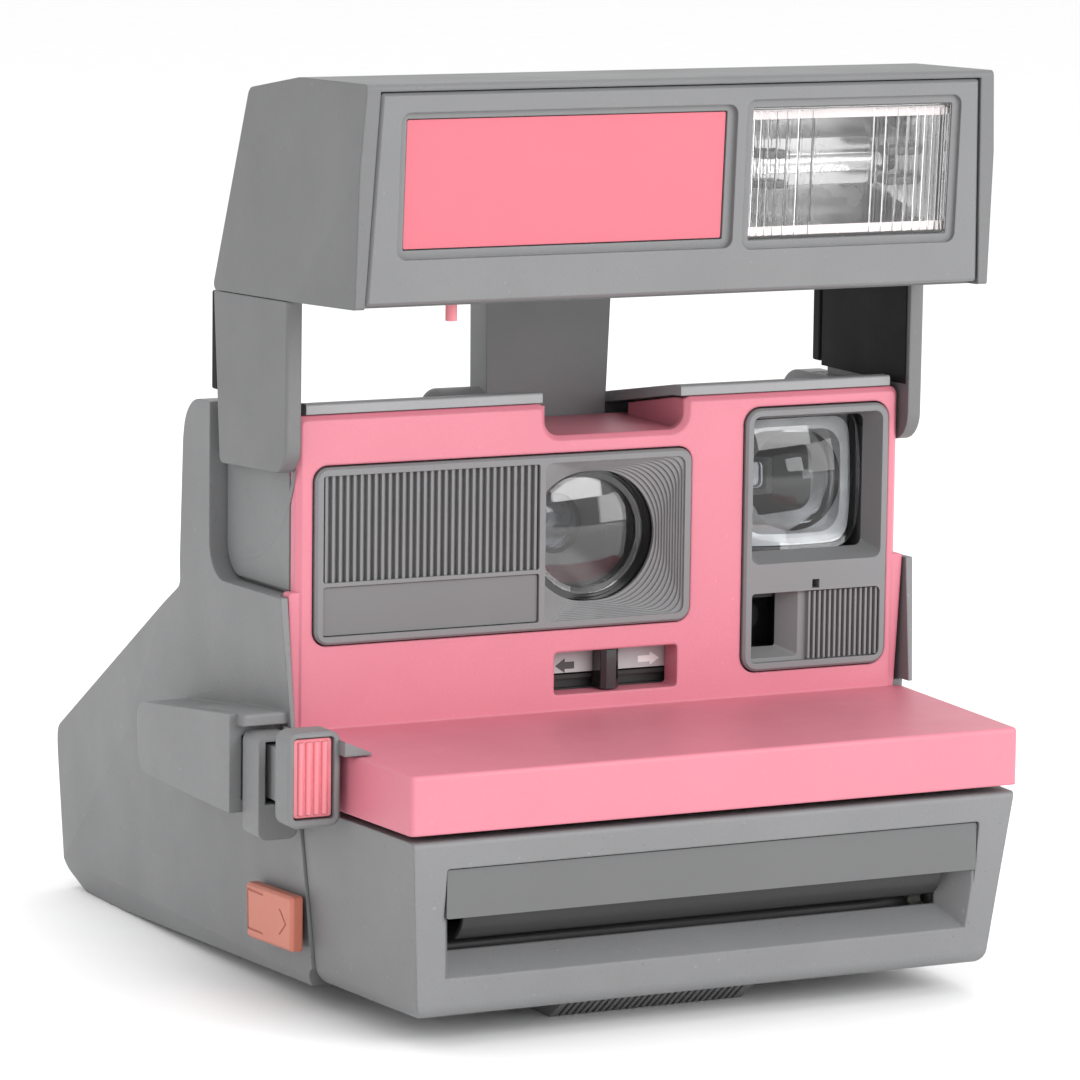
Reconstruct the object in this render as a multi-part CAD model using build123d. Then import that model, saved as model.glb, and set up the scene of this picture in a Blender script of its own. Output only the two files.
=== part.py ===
from build123d import *
import math
import os

os.makedirs("parts", exist_ok=True)

# Folding-flash instant camera, modelled open and ready to use. Millimetres.
# Working frame: X across the camera with the housing's symmetry plane at 0,
# Y from the shelf's front edge at 0 towards the back, Z up from the floor at 0.
# Every finished piece is moved by ORIGIN_SHIFT, which puts the origin of the saved
# parts at the bottom centre of the whole camera's box.
ORIGIN_SHIFT = (4.1, -74.7, 0)

# --- Driving dimensions ---------------------------------------------------------
HALF_WIDTH = 60.0        # side walls and flash arms
WALL = 2.2               # moulded wall thickness
GAP = 0.3                # running gap between separate bodies
REAR_HALF_WIDTH = 56.0   # half width of the rear wall
BODY_LENGTH = 149.8      # shelf front edge to rear wall
FLANGE_TOP = 97.6        # top of the side flanges

FASCIA_Y = 43.0          # front face of the pink panel
FASCIA_T = 2.4
FASCIA_TOP = 98.4
FASCIA_HALF = 56.9
TRAY_TOP = 92.9          # floor of the notch for the flash unit's post
SHELF_TOP = 46.0
SHELF_BOTTOM = 36.3
SHELF_FRONT_HALF = 56.1
SHELF_REAR_HALF = 58.9

FOLD_Y = 64.5            # flash unit's folding axis
FOLD_Z = 93.0
POCKET_FLOOR = 68.2      # arm pocket in the side flange
POCKET_REAR = 71.8
POCKET_X = 57.0
ARM_IN = 57.35
ARM_FRONT = 40.5
ARM_TOP = 117.64
ARM_BOTTOM = 87.8

FLASH_LEAN = math.degrees(math.asin(2.2 / 36.1))   # front face, 36.1 high, leans forward
FLASH_BASE = (0, 17.6, 118.6)                      # foot of the flash unit's front face

DOOR_TOP = 35.1          # film door
DOOR_BOTTOM = 4.4
DOOR_HINGE_Y = 36.4
DOOR_HINGE_Z = 5.6
ROLLER_Y = 20.0
ROLLER_R = 4.2
ROLLER_GAP = 0.6

LENS_X = -0.1            # taking lens axis
LENS_Z = 75.15
LENS_HOLE_R = 11.1

BEZEL_FRONT = 42.2       # front faces of both bezels stand slightly proud
BEZEL_BACK = 46.6
CONE_FRONT = 46.7        # ringed funnel behind the hole
CONE_DEPTH = 15.2
CONE_RINGS = 18
COVER_RING = 3           # funnel step that holds the cover lens

GEAR_MODULE = 0.6


# --- Helpers --------------------------------------------------------------------
def outline(corners):
    """Flat face from (u, v, corner radius) points."""
    face = Sketch() + make_face(Polyline(*[(u, v) for u, v, r in corners], close=True))
    for u, v, r in corners:
        if r:
            near = face.vertices().sort_by_distance((u, v, 0))[0]
            face = fillet(near, r)
    return face


def side_prism(corners, x0, x1):
    """Extrude a (y, z) outline from x0 to x1."""
    plane = Plane(origin=(x0, 0, 0), x_dir=(0, 1, 0), z_dir=(1, 0, 0))
    return extrude(plane * outline(corners), amount=x1 - x0)


def front_prism(corners, y0, y1):
    """Extrude an (x, z) outline from y0 back to y1."""
    plane = Plane(origin=(0, y0, 0), x_dir=(1, 0, 0), z_dir=(0, -1, 0))
    return extrude(plane * outline(corners), amount=y0 - y1)


def plan_prism(corners, z0, z1):
    """Extrude an (x, y) outline from z0 to z1."""
    return extrude(Plane.XY.offset(z0) * outline(corners), amount=z1 - z0)


def block(x0, x1, y0, y1, z0, z1):
    centre = ((x0 + x1) / 2, (y0 + y1) / 2, (z0 + z1) / 2)
    return Pos(*centre) * Box(x1 - x0, y1 - y0, z1 - z0)


def rounded(x0, x1, z0, z1, r):
    """Rounded rectangle as (x, z, r) corners."""
    return [(x0, z0, r), (x1, z0, r), (x1, z1, r), (x0, z1, r)]


def rod_x(radius, x0, x1, y, z):
    return Pos((x0 + x1) / 2, y, z) * Rot(0, 90, 0) * Cylinder(radius, x1 - x0)


def rod_y(radius, x, y0, y1, z):
    return Pos(x, (y0 + y1) / 2, z) * Rot(90, 0, 0) * Cylinder(radius, y1 - y0)


def rod_z(radius, x, y, z0, z1):
    return Pos(x, y, (z0 + z1) / 2) * Cylinder(radius, z1 - z0)


def mirrored(shape):
    return mirror(shape, about=Plane.YZ)


def spring(radius, wire, length, turns):
    """Closely wound compression spring along +Z from the origin."""
    path = Helix(pitch=length / turns, height=length, radius=radius)
    section = Plane(origin=path @ 0, z_dir=path % 0) * Circle(wire)
    return sweep(section, path=path)


def gear(teeth, width):
    """Spur gear about +Z with slim straight-sided teeth."""
    pitch_r = GEAR_MODULE * teeth / 2
    body = Circle(pitch_r - 1.15 * GEAR_MODULE)
    half = math.pi * GEAR_MODULE / 4
    tooth = make_face(Polyline((pitch_r - 1.5 * GEAR_MODULE, -half * 1.05),
                               (pitch_r, -half * 0.72),
                               (pitch_r + 0.8 * GEAR_MODULE, -half * 0.34),
                               (pitch_r + 0.8 * GEAR_MODULE, half * 0.34),
                               (pitch_r, half * 0.72),
                               (pitch_r - 1.5 * GEAR_MODULE, half * 1.05), close=True))
    for index in range(teeth):
        body += Rot(0, 0, 360 * index / teeth) * tooth
    return extrude(body, amount=width)


def save(shape, name):
    """Move a finished piece to the saved frame and write it."""
    shape = Pos(*ORIGIN_SHIFT) * shape
    solids = shape.solids()
    whole = solids[0] if len(solids) == 1 else Compound(children=list(solids))
    export_step(whole, f"parts/{name}.step")


# --- Rear housing ---------------------------------------------------------------
def housing_form(inset):
    """The housing's outer form, or its hollow when inset by the wall."""
    i = inset
    slant = 1.15 * i
    side = side_prism([(36.4, 4.3 + i, 0), (124, 0 + i, 0), (139 - 0.4 * i, 0 + i, 4),
                       (145.2 - i, 3.4 + 0.6 * i, 3), (BODY_LENGTH - i, 28.5 - 0.4 * i, 3.5),
                       (84.6 - i, 64.6 - slant + 0.6 * i, 2.5), (83.1 - i, 90, 0),
                       (81.6 - i, FLANGE_TOP - i, 7), (43.0, FLANGE_TOP - i, 0),
                       (42.6, 69, 0), (40.1, 47.5, 0), (38.4, 35.4, 0)],
                      -HALF_WIDTH, HALF_WIDTH)
    plan = plan_prism([(-59.4 + i, 30, 0), (59.4 - i, 30, 0), (60 - i, 44, 0), (60 - i, 86, 9),
                       (REAR_HALF_WIDTH - i, 152, 3.5), (-REAR_HALF_WIDTH + i, 152, 3.5),
                       (-60 + i, 86, 9), (-60 + i, 44, 0)], -1, 100)
    draft = front_prism([(-54.6 + i, -0.2, 0), (54.6 - i, -0.2, 0), (56.4 - i, 5.2, 3),
                         (58.5 - i, 35, 0), (60 - i, 69, 0), (60 - i, 100, 0), (-60 + i, 100, 0),
                         (-60 + i, 69, 0), (-58.5 + i, 35, 0), (-56.4 + i, 5.2, 3)], 30, 153)
    return side & plan & draft


def pocket_outline(inset):
    return [(30, POCKET_FLOOR + 0.6 + inset, 0), (POCKET_REAR - inset, POCKET_FLOOR - 0.3 + inset, 6 - inset),
            (POCKET_REAR - inset, 110, 0), (30, 110, 0)]


def arm_pocket():
    """Recess in the left flange that the folded arm lies in, open forward and up."""
    pocket = side_prism(pocket_outline(0), -HALF_WIDTH - 5, -POCKET_X)
    groove = side_prism(pocket_outline(0), -POCKET_X - 0.1, -POCKET_X + 1.2)
    groove -= side_prism(pocket_outline(0.75), -POCKET_X - 0.2, -POCKET_X + 1.3)
    return pocket + groove


def pod_form(inset):
    """Grip pod on the left side, hollow towards the front."""
    i = inset
    side = side_prism([(44.3 - 8 * i, 33 + i, 0), (86 - i, 32.6 + i, 3.5), (88 - i, 44.5 - i, 4),
                       (44.3 - 8 * i, 49.6 - i, 0)], -68.2 + i, -50)
    plan = plan_prism([(-68.2 + i, 20, 0), (-68.2 + i, 50, 0), (-66.4 + i, 92, 6), (-50, 92, 0),
                       (-50, 20, 0)], 20, 60)
    return side & plan


def rear_housing():
    shell = housing_form(0)
    pod = pod_form(0)
    lip = side_prism([(41.2, 47.9, 0), (60, 45.9, 0), (60, 48.2, 0), (41.4, 49.9, 0.6)], -66.9, -58.0)
    shell += pod
    hollow = housing_form(WALL)
    hollow -= block(-62, -POCKET_X + WALL, 40, POCKET_REAR + WALL, POCKET_FLOOR - WALL, 110)
    hollow -= block(POCKET_X - WALL, 62, 40, POCKET_REAR + WALL, POCKET_FLOOR - WALL, 110)
    shell -= hollow
    shell -= pod_form(WALL) & block(-70, -56.6, 30, 90, 30, 50)
    shell += lip
    shell -= arm_pocket()
    shell -= mirrored(arm_pocket())
    # front opening: the fascia, shelf and film door sit here
    shell -= block(-FASCIA_HALF - 0.25, FASCIA_HALF + 0.25, 30, 45.8, SHELF_BOTTOM - 0.2, 100)
    shell -= front_prism([(-59.2, 35.3, 0), (59.2, 35.3, 0), (59.2, 47.2, 0), (-59.2, 47.2, 0)], 30, 43.4)
    shell -= front_prism([(-58.3, 47.0, 0), (58.3, 47.0, 0), (58.7, 69.8, 0), (-58.7, 69.8, 0)], 30, 45.8)
    # top opening under the sloping cover, between the flanges
    shell -= block(-55.4, 55.4, 40, 90, 90.6, 100)
    shell -= block(-54.8, 54.8, 40, 79.5, 88.0, 100)
    # door hinge clearance along the bottom edge
    shell -= rod_x(1.6, -60, 60, DOOR_HINGE_Y, DOOR_HINGE_Z)
    shell -= rod_x(2.5, -53, 53, DOOR_HINGE_Y, DOOR_HINGE_Z)
    shell -= block(-60, 60, 30, DOOR_HINGE_Y, 0, DOOR_HINGE_Z)
    shell -= block(-53, 53, 30, DOOR_HINGE_Y + 5, DOOR_HINGE_Z, 9)
    # hinge pin holes of the flash unit
    shell -= rod_x(2.05, -62, 62, FOLD_Y, FOLD_Z)
    # slot of the door latch, and the eyepiece window in the back
    shell -= block(-62, -52, 39.2, 50.2, 12.6, 16.9)
    shell -= front_prism(rounded(32, 48, 73.5, 85.5, 2), 78, 90)
    return max(shell.solids(), key=lambda s: s.volume)


def top_cover():
    """Sloping cover between the flanges, with a channel for the flash unit's post."""
    cover = side_prism([(43.3, 98.6, 0), (43.3, 100.3, 0.5), (45.6, 100.3, 0.5), (83.2, 94.2, 2),
                        (83.2, 92.2, 0), (46.6, 98.4, 0)], -55.2, 55.2)
    cover += block(-54.4, 54.4, 78.0, 79.2, 89.0, 93.5)
    barrel_way = block(-27.8, -11.0, 56.6, 73.4, 84, 103)
    channel = block(-11.8, 14.4, 40, 77, 84, 103)
    return cover - barrel_way - channel


# --- Fascia ---------------------------------------------------------------------
def fascia_outline():
    return [(-FASCIA_HALF, SHELF_TOP - 1, 0), (-FASCIA_HALF, FASCIA_TOP, 1.6), (-11.2, FASCIA_TOP, 1.4),
            (-11.1, TRAY_TOP, 2.6), (15.2, TRAY_TOP, 2.8), (15.3, FASCIA_TOP, 1.2),
            (FASCIA_HALF, FASCIA_TOP, 1.6), (FASCIA_HALF, SHELF_TOP - 1, 0)]


def post_tray():
    """Floor and side walls behind the notch, where the folded flash unit's post lies."""
    floor = block(-12.2, 16.3, FASCIA_Y + 1, 66.9, TRAY_TOP - 1.4, TRAY_TOP)
    right = side_prism([(FASCIA_Y + 1, TRAY_TOP - 1.4, 0), (64, TRAY_TOP - 1.4, 0), (64, 95.0, 0),
                        (46.6, 98.0, 0), (FASCIA_Y + 1, 98.0, 0)], 15.2, 16.3)
    left = side_prism([(FASCIA_Y + 1, TRAY_TOP - 1.4, 0), (58, TRAY_TOP - 1.4, 0), (58, 96.0, 0),
                       (46.6, 98.0, 0), (FASCIA_Y + 1, 98.0, 0)], -12.2, -11.1)
    return floor + right + left


def front_fascia():
    """Pink panel and shelf in one moulding."""
    panel = front_prism(fascia_outline(), FASCIA_Y, FASCIA_Y + FASCIA_T)
    rim = panel.edges().filter_by(lambda e: abs(e.center().Y - FASCIA_Y) < 0.01)
    rim = [e for e in rim if e.center().Z > SHELF_TOP]
    panel = chamfer(rim, 0.9)
    wing = front_prism([(-FASCIA_HALF + 2, SHELF_TOP - 1, 0), (-57.0, SHELF_TOP - 1, 0), (-58.3, 69.2, 0.6),
                        (-FASCIA_HALF + 2, 69.2, 0)], FASCIA_Y + 0.2, FASCIA_Y + FASCIA_T)
    panel += wing + mirrored(wing)
    shelf = plan_prism([(-SHELF_FRONT_HALF, 0, 0.8), (SHELF_FRONT_HALF, 0, 0.8),
                        (SHELF_REAR_HALF, FASCIA_Y, 0), (-SHELF_REAR_HALF, FASCIA_Y, 0)],
                       SHELF_BOTTOM, SHELF_TOP)
    top_rim = shelf.edges().filter_by(lambda e: abs(e.center().Z - SHELF_TOP) < 0.01)
    shelf = fillet([e for e in top_rim if e.center().Y < FASCIA_Y - 1], 0.7)
    shelf -= plan_prism([(-SHELF_FRONT_HALF + 2, 2, 0), (SHELF_FRONT_HALF - 2, 2, 0),
                         (SHELF_REAR_HALF - 2, 41, 0), (-SHELF_REAR_HALF + 2, 41, 0)],
                        SHELF_BOTTOM - 1, SHELF_TOP - 2)
    fascia = panel + shelf
    fascia += block(-56.4, 56.4, FASCIA_Y - 1.5, FASCIA_Y + FASCIA_T, SHELF_BOTTOM, SHELF_TOP - 0.5)
    fascia += post_tray()
    # seats of the two bezels and the exposure slider window
    fascia -= front_prism(rounded(-54.1, 16.6, 59.9, 90.1, 2.7), 40, 50)
    fascia -= front_prism(rounded(26.4, 55.0, 50.1, 96.1, 3.1), 40, 50)
    fascia += front_prism(rounded(-10.7, 15.8, 47.5, 57.5, 1.2), FASCIA_Y + 1, FASCIA_Y + 4.6)
    window = front_prism(rounded(-9.2, 14.3, 48.8, 56.1, 0.7), 42, 50)
    fascia -= window
    return fascia


# --- Lens bezel and lens --------------------------------------------------------
def baffle_steps():
    """Stack of openings that turns from a rounded square into the lens hole."""
    steps = 12
    pitch = 0.34
    cut = None
    for index in range(steps):
        t = index / (steps - 1)
        right = 14.9 - (14.9 - LENS_X - LENS_HOLE_R) * t
        left = -11.5 - 1.4 * t
        top = 88.5 - (88.5 - LENS_Z - LENS_HOLE_R) * t
        low = 61.6 + (LENS_Z - LENS_HOLE_R - 61.6) * t
        radius = 1.5 + (LENS_HOLE_R - 1.55) * t ** 0.8
        y0 = BEZEL_FRONT - 1 if index == 0 else BEZEL_FRONT + 0.4 + pitch * (index - 1)
        y1 = BEZEL_BACK + 1 if index == steps - 1 else BEZEL_FRONT + 0.4 + pitch * index
        step = front_prism(rounded(left, right, low, top, min(radius, (top - low) / 2 - 0.02)), y0, y1)
        cut = step if cut is None else cut + step
    return cut & block(-11.5, 20, 40, 50, 55, 95)


def lens_bezel():
    bezel = front_prism(rounded(-53.8, 16.3, 60.2, 89.8, 2.4), BEZEL_FRONT, BEZEL_BACK)
    front_rim = bezel.edges().filter_by(lambda e: abs(e.center().Y - BEZEL_FRONT) < 0.01)
    bezel = chamfer(front_rim, 0.4)
    bezel -= front_prism(rounded(-52.4, -12.6, 70.6, 88.4, 0.4), 40, BEZEL_FRONT + 1.3)
    bezel -= front_prism(rounded(-52.4, -12.6, 61.6, 69.9, 0.4), 40, BEZEL_FRONT + 1.3)
    rib_count = 31
    pitch = 39.8 / rib_count
    for index in range(rib_count):
        x = -52.4 + pitch * (index + 0.5)
        bezel += plan_prism([(x - 0.38, BEZEL_FRONT + 1.4, 0), (x + 0.38, BEZEL_FRONT + 1.4, 0),
                             (x + 0.24, BEZEL_FRONT + 0.35, 0), (x - 0.24, BEZEL_FRONT + 0.35, 0)],
                            70.6, 88.4)
    return bezel - baffle_steps()


def lens_trim_plate():
    return front_prism(rounded(-52.25, -12.75, 61.75, 69.75, 0.4), BEZEL_FRONT + 0.5, BEZEL_FRONT + 1.3)


def cone_radius(index):
    """Inside radius of one step of the funnel."""
    return 11.6 - 6.8 * index / CONE_RINGS


def lens_cone():
    """Ringed funnel that runs back from the hole to the lens; the cover lens sits on one step."""
    cone = rod_y(13.4, LENS_X, CONE_FRONT, CONE_FRONT + CONE_DEPTH, LENS_Z)
    step = CONE_DEPTH / CONE_RINGS
    for index in range(CONE_RINGS):
        start = CONE_FRONT + step * index
        cone -= rod_y(cone_radius(index), LENS_X, start - 0.1, start + step + 0.1, LENS_Z)
    return cone


def lens_dome(radius, curve, x, y, z, thickness):
    """Disc with a domed front face, its front vertex at y."""
    ball = Pos(x, y + curve, z) * Sphere(curve)
    return ball & rod_y(radius, x, y - 1, y + thickness, z)


def cover_lens():
    """Clear domed disc that keeps dust out of the funnel."""
    seat = CONE_FRONT + CONE_DEPTH * (COVER_RING + 1) / CONE_RINGS
    radius = cone_radius(COVER_RING) - 0.05
    disc = lens_dome(radius, 32, LENS_X, seat - 2.6, LENS_Z, 2.55)
    hollow = Pos(LENS_X, seat - 1.5 + 31, LENS_Z) * Sphere(31)
    return disc - hollow


def taking_lens():
    return lens_dome(5.2, 9, LENS_X, 62.1, LENS_Z, 2.7)


def shutter_housing():
    body = block(-22, 20, 65.0, 72.0, 61, 86.2)
    body -= block(-20.5, 18.5, 66.4, 70.2, 62.5, 84.7)
    return body - rod_y(4.2, LENS_X, 64, 74, LENS_Z)


def shutter_blade(side, y0):
    """Sliding blade: a plate with a half opening and a drive tail."""
    inner = LENS_X + side * 0.25
    plate = block(min(inner, inner + side * 11), max(inner, inner + side * 11), y0, y0 + 0.7, 70, 81)
    plate -= rod_y(2.0, inner, y0 - 1, y0 + 2, LENS_Z)
    tail = inner + side * 6.0
    return plate + block(tail - 1, tail + 1, y0, y0 + 0.7, 66, 71)


def blade_magnet():
    coil = rod_z(3.4, 14.4, 75.5, 64.2, 76)
    core = rod_z(1.4, 14.4, 75.5, 62.2, 78)
    return coil + core


# --- Viewfinder -----------------------------------------------------------------
def tapered_way(front, back):
    """Opening that narrows from the front of a bezel to its back."""
    planes = [Plane(origin=(0, y, 0), x_dir=(1, 0, 0), z_dir=(0, -1, 0))
              for y in (BEZEL_FRONT - 0.1, BEZEL_BACK + 0.1)]
    return loft([planes[0] * outline(front), planes[1] * outline(back)])


def finder_bezel():
    bezel = front_prism(rounded(26.7, 54.7, 50.4, 95.8, 2.8), BEZEL_FRONT, BEZEL_BACK)
    front_rim = bezel.edges().filter_by(lambda e: abs(e.center().Y - BEZEL_FRONT) < 0.01)
    bezel = chamfer(front_rim, 0.4)
    bezel -= tapered_way(rounded(28.0, 53.4, 68.9, 94.5, 1.5), rounded(29.3, 51.8, 70.6, 93.5, 1.2))
    bezel -= block(40.0, 41.4, 40, 50, 64.3, 65.8)
    bezel -= front_prism(rounded(28.2, 53.4, 51.8, 63.9, 1.0), 40, BEZEL_FRONT + 1.2)
    bezel -= tapered_way(rounded(28.2, 39.0, 51.8, 63.9, 0.6), rounded(28.7, 35.0, 54.0, 63.5, 0.4))
    rib_count = 14
    pitch = 14.2 / rib_count
    for index in range(rib_count):
        x = 39.2 + pitch * (index + 0.5)
        bezel += plan_prism([(x - 0.34, BEZEL_FRONT + 1.3, 0), (x + 0.34, BEZEL_FRONT + 1.3, 0),
                             (x + 0.2, BEZEL_FRONT + 0.35, 0), (x - 0.2, BEZEL_FRONT + 0.35, 0)],
                            52.0, 63.7)
    return bezel


def finder_front_lens():
    """Rounded-square lens: domed front, and a deep rounded bowl in the back."""
    front, back = BEZEL_BACK + 0.2, 51.6
    dome, hollow, depth = 34, 13, 3.2
    slab = front_prism(rounded(28.4, 52.9, 69.9, 94.2, 4), front, back)
    slab &= Pos(40.6, front + dome, 82.0) * Sphere(dome)
    bowl = front_prism(rounded(32.2, 49.0, 73.4, 90.6, 4), front, back + 1)
    return slab - (bowl & Pos(40.6, back - depth + hollow, 82.0) * Sphere(hollow))


def finder_tube():
    """Tapering sight tube between the front lens and the eyepiece."""
    front = Plane(origin=(0, 52.0, 0), x_dir=(1, 0, 0), z_dir=(0, -1, 0))
    back = Plane(origin=(0, 78.0, 0), x_dir=(1, 0, 0), z_dir=(0, -1, 0))
    big = front * Pos(40.6, 81.6) * RectangleRounded(24.4, 24.0, 3)
    small = back * Pos(40.0, 79.6) * RectangleRounded(17.0, 13.4, 2)
    outer = loft([big, small])
    big_in = front * Pos(40.6, 81.6) * RectangleRounded(22.0, 21.6, 2)
    small_in = back * Pos(40.0, 79.6) * RectangleRounded(14.6, 11.0, 1)
    return outer - loft([big_in, small_in])


def eyepiece():
    """Rear viewfinder frame around the eye lens, proud of the back wall."""
    ring = front_prism(rounded(30.6, 49.4, 72.1, 86.9, 3), 84.6, 87.4)
    ring += front_prism(rounded(32.3, 47.7, 73.8, 85.2, 2), 78.6, 85)
    return ring - front_prism(rounded(34, 46, 75.4, 83.6, 2), 70, 90)


def eye_lens():
    return front_prism(rounded(34.05, 45.95, 75.45, 83.55, 1.9), 82.6, 84.6)


def meter_cell():
    """Light meter: a black box with a small lens, behind the lower opening."""
    box = block(28.7, 38.5, 47.2, 55, 52.4, 63.4) - block(29.7, 37.5, 46, 53.6, 53.4, 62.4)
    return box + rod_y(2.2, 32.6, 51.6, 53.8, 58.6)


# --- Exposure slider ------------------------------------------------------------
def scale_plate():
    return block(-13, 16.8, 47.9, 48.7, 51.6, 57.6)


def slider_rail():
    rail = block(-13, 16.8, 47.8, 50.6, 47.6, 51.3)
    return rail - block(-12, 15.8, 47.0, 48.8, 49.0, 50.6)


def exposure_slider():
    knob = plan_prism([(0.4, 47.5, 0), (0.4, 44.5, 0.3), (1.2, 43.8, 0), (3.0, 43.8, 0),
                       (3.8, 44.5, 0.3), (3.8, 47.5, 0)], 49.1, 55.8)
    return knob + block(1.2, 3.0, 47.2, 48.5, 49.3, 50.3)


# --- Shutter button and flash override ------------------------------------------
BUTTON = (-67.0, -60.4, 36.2, 49.1)      # x0, x1, z0, z1 of the shutter button
BRACKET_Y = 20.6


def button_bracket():
    """Ring around the shutter button, the holder behind it and the web between them."""
    ring = front_prism(rounded(-68.2, -58.9, 34.5, 50.2, 1.9), BRACKET_Y, BRACKET_Y + 5.2)
    rim = ring.edges().filter_by(lambda e: abs(e.center().Y - BRACKET_Y) < 0.01)
    ring = chamfer(rim, 0.5)
    x0, x1, z0, z1 = BUTTON
    ring -= front_prism(rounded(x0 - GAP, x1 + GAP, z0 - GAP, z1 + GAP, 0.6), 20, BRACKET_Y + 4.2)
    holder = front_prism(rounded(-66.4, -59.4, 29.6, 47.0, 1.6), 36.5, 43.0)
    holder -= block(-65.2, -60.9, 36, 41.4, 35.6, 46.0)
    web = block(-60.05, -58.9, BRACKET_Y + 5.0, 37, 36.6, 46.6)
    foot = block(-60.4, -59.4, 42.8, 52, 35.6, 44.8)
    wedge = front_prism([(-59.3, 46.25, 0), (-59.3, 48.7, 0), (-54.6, 46.65, 0), (-54.6, 46.25, 0)],
                        18.4, 25.0)
    return ring + holder + web + foot + wedge


def shutter_button():
    x0, x1, z0, z1 = BUTTON
    button = front_prism(rounded(x0, x1, z0, z1, 0.5), BRACKET_Y + 0.7, BRACKET_Y + 2.4)
    rib_count = 4
    pitch = (x1 - x0 - 1.0) / rib_count
    for index in range(rib_count):
        x = x0 + 0.5 + pitch * (index + 0.5)
        rib = rod_z(pitch * 0.42, x, BRACKET_Y + 0.75, z0 + 0.5, z1 - 0.5)
        button += rib & block(x0, x1, BRACKET_Y - 0.2, BRACKET_Y + 1.2, z0, z1)
    return button


def override_button():
    tab = block(-64.0, -61.3, 34.6, 38.9, 36.4, 45.2)
    rim = tab.edges().filter_by(lambda e: abs(e.center().Y - 34.6) < 0.01)
    return fillet(rim, 0.5)


# --- Film door ------------------------------------------------------------------
def door_form(inset, low, high):
    """Tapering door body between two heights."""
    i = inset
    ends = []
    for z, front, back in ((low, 52.4, 56.0), (high, 55.8, 58.3)):
        ring = Polyline((-front + i, -1), (front - i, -1), (back - i, 39), (-back + i, 39), close=True)
        ends.append(Plane.XY.offset(z) * make_face(ring))
    return loft(ends, ruled=True)


def door_front(z):
    """Y of the door's leaning front face at a height."""
    return 0.12 * (DOOR_TOP - z)


FLAP_Y, FLAP_Z = 5.6, 24.2
FLAP_HALF = 44.6


def film_door():
    lower, upper = DOOR_BOTTOM, 37.0
    profile = side_prism([(door_front(DOOR_TOP), DOOR_TOP, 0.8), (38.0, DOOR_TOP, 0),
                          (36.1, DOOR_BOTTOM, 0), (door_front(5) + 0.2, 5.2, 2.6)], -62, 62)
    door = door_form(0, lower, upper)
    sides = [e for e in door.edges() if abs(e.center().X) > 45 and e.center().Z < lower + 1]
    door = fillet(sides, 3.8)
    fronts = [e for e in door.edges() if e.center().Y < 1 and e.bounding_box().size.Z > 20]
    door = fillet(fronts, 1.4) & profile
    inner = side_prism([(8.6, 32.6, 0), (42, 32.6, 0), (42, 7.4, 0), (8.6, 7.4, 0)], -62, 62)
    door -= door_form(2.4, lower, upper) & inner
    # front recess: seat of the trim plate above, exit slot with its sill below
    door -= front_prism(rounded(-49.4, 49.4, 21.9, 30.4, 0.5), -2, 2.6)
    slot_in = Plane(origin=(0, 9.0, 0), x_dir=(1, 0, 0), z_dir=(0, -1, 0))
    slot_out = Plane(origin=(0, 1.0, 0), x_dir=(1, 0, 0), z_dir=(0, -1, 0))
    mouth = loft([slot_in * Pos(0, 19.35) * Rectangle(90.4, 7.6),
                  slot_out * Pos(0, 16.35) * Rectangle(99.0, 11.4)])
    door -= mouth
    door -= block(-49.4, 49.4, -2, 2.0, 10.9, 22)
    # pocket and bearings of the exit flap, behind the trim plate
    door -= block(-44.9, 44.9, 2.4, 9.0, 21.2, 26.4)
    door -= rod_x(0.95, -45.6, 45.6, FLAP_Y, FLAP_Z)
    # hinge ears, and notches for the bearing lugs of the film chamber
    for side in (-1, 1):
        x0, x1 = sorted((side * 36, side * 46))
        door += rod_x(1.9, x0, x1, DOOR_HINGE_Y, DOOR_HINGE_Z)
        x0, x1 = sorted((side * 48.1, side * 51.3))
        door -= block(x0, x1, DOOR_HINGE_Y - 2.5, 45, 2, 10)
    door -= rod_x(0.85, -53, 53, DOOR_HINGE_Y, DOOR_HINGE_Z)
    return max(door.solids(), key=lambda s: s.volume)


def door_hinge_pin():
    return rod_x(0.8, -51.0, 51.0, DOOR_HINGE_Y, DOOR_HINGE_Z)


def door_trim_plate():
    return front_prism(rounded(-49.15, 49.15, 22.15, 30.15, 0.4), 1.1, 2.3)


def exit_flap():
    """Curved light-tight flap that hangs across the exit slot."""
    centre_y, centre_z, radius = 10.2, 22.4, 5.8
    ring = rod_x(radius, -FLAP_HALF, FLAP_HALF, centre_y, centre_z)
    ring -= rod_x(radius - 0.8, -50, 50, centre_y, centre_z)
    ring &= side_prism([(4.0, 22.9, 0), (7.7, 22.9, 0), (7.7, 17.2, 0), (4.0, 17.2, 0)], -50, 50)
    return ring + rod_x(0.9, -FLAP_HALF - 0.6, FLAP_HALF + 0.6, FLAP_Y, FLAP_Z) + block(
        -FLAP_HALF, FLAP_HALF, 4.9, 5.6, 22.0, 24.2)


def roller(z, length):
    """Steel film roller with its journals."""
    return rod_x(ROLLER_R, -length, length, ROLLER_Y, z) + rod_x(1.5, -50.0, 50.0, ROLLER_Y, z)


UPPER_Z = 17.6 + ROLLER_R + ROLLER_GAP / 2
LOWER_Z = 17.6 - ROLLER_R - ROLLER_GAP / 2
ROLLER_TEETH = 15


def roller_gear(z):
    """End gear of a roller; the odd tooth count lets both gears share one position."""
    wheel = gear(ROLLER_TEETH, 2.4)
    wheel -= Pos(0, 0, 1.2) * Cylinder(1.5, 4)
    return Pos(45.2, ROLLER_Y, z) * Rot(0, 90, 0) * wheel


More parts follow.
